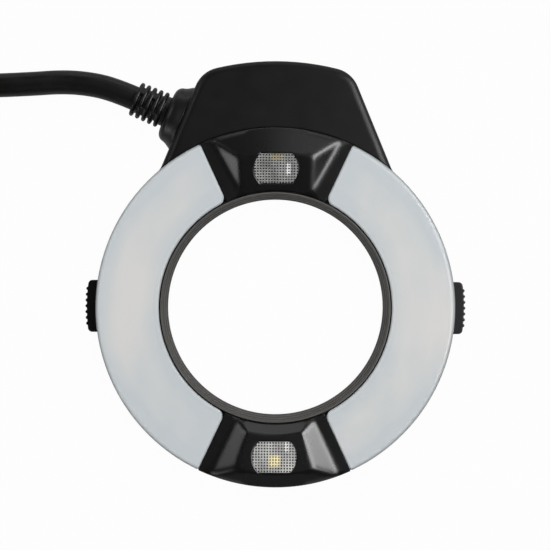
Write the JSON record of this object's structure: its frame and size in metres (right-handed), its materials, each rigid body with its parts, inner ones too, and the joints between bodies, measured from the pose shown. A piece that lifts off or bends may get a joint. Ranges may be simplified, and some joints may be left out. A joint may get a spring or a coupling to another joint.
{
  "type": "macro ring flash",
  "caption": "Macro ring flash head with milky diffusers, faceted focusing lamps, side release buttons and a ribbed cable exit with a coiled lead and plug.",
  "frame": {"origin": "on the axis of the lens opening, in the plane of the rear face, on which the head lies", "axes": "+Z is the firing direction, out of the diffusers; +Y points from the ring to the lobe that holds the electronics; the cable leaves towards -X"},
  "size_m": [0.2827, 0.1713, 0.0288],
  "materials": {
    "black_shell": "fine satin grain",
    "lamp_black": "satin",
    "milky_plastic": "milky, translucent",
    "baffle_grey": "matt, fine ribs",
    "clear_plastic": "prismatic",
    "seat_aluminium": "turned",
    "bright_aluminium": "polished",
    "steel": "bright",
    "slider_plastic": "smooth",
    "white_plastic": "smooth",
    "board_green": "lacquered",
    "tube_glass": "clear",
    "brass": "bright",
    "lamp_yellow": "phosphor",
    "black_rubber": "satin",
    "cable_black": "smooth, satin",
    "capacitor_blue": "sleeved",
    "ferrite": "sintered",
    "chrome": "plated"
  },
  "bodies": {
    "head": {"front_case": "black_shell", "rear_cover": "black_shell", "bore_baffle": "baffle_grey", "adapter_ring": "seat_aluminium", "adapter_ring_screws": "steel", "left_diffuser": "milky_plastic", "right_diffuser": "milky_plastic", "left_reflector": "bright_aluminium", "right_reflector": "bright_aluminium", "left_flash_tube": "tube_glass", "right_flash_tube": "tube_glass", "flash_tube_electrodes": "steel", "tube_holders": "white_plastic", "release_guide_plate": "steel", "ring_circuit_board": "board_green", "guide_plate_screws": "steel", "left_return_spring": "steel", "right_return_spring": "steel", "upper_lamp_housing": "lamp_black", "upper_lamp_lens": "clear_plastic", "upper_lamp_board": "white_plastic", "upper_lamp_led": "lamp_yellow", "lower_lamp_housing": "lamp_black", "lower_lamp_lens": "clear_plastic", "lower_lamp_board": "white_plastic", "lower_lamp_led": "lamp_yellow", "case_screws": "steel", "control_board": "board_green", "control_board_screws": "steel", "trigger_transformer": "ferrite", "trigger_capacitor": "capacitor_blue", "wire_connector": "white_plastic", "cable_gland": "black_rubber", "strain_relief": "black_rubber", "cable_clamp": "slider_plastic", "cable_clamp_screws": "steel", "cable_inner_end": "cable_black", "cable": "cable_black", "cable_coil": "cable_black", "coil_tie": "black_rubber", "cable_tail": "cable_black", "plug_body": "black_rubber", "plug_sleeve": "chrome", "plug_insert": "slider_plastic", "plug_pins": "brass"},
    "left_release": {"left_button": "black_shell", "left_release_slider": "slider_plastic"},
    "right_release": {"right_button": "black_shell", "right_release_slider": "slider_plastic"}
  },
  "joints": [
    {"name": "left_press", "type": "slide", "parent": "head", "child": "left_release", "axis": [1, 0, 0], "range_m": [0, 0.0025], "stiffness_N_per_m": 300, "springref_m": -0.003, "deforming": ["left_return_spring"]},
    {"name": "right_press", "type": "slide", "parent": "head", "child": "right_release", "axis": [-1, 0, 0], "range_m": [0, 0.0025], "stiffness_N_per_m": 300, "springref_m": -0.003, "deforming": ["right_return_spring"]}
  ]
}
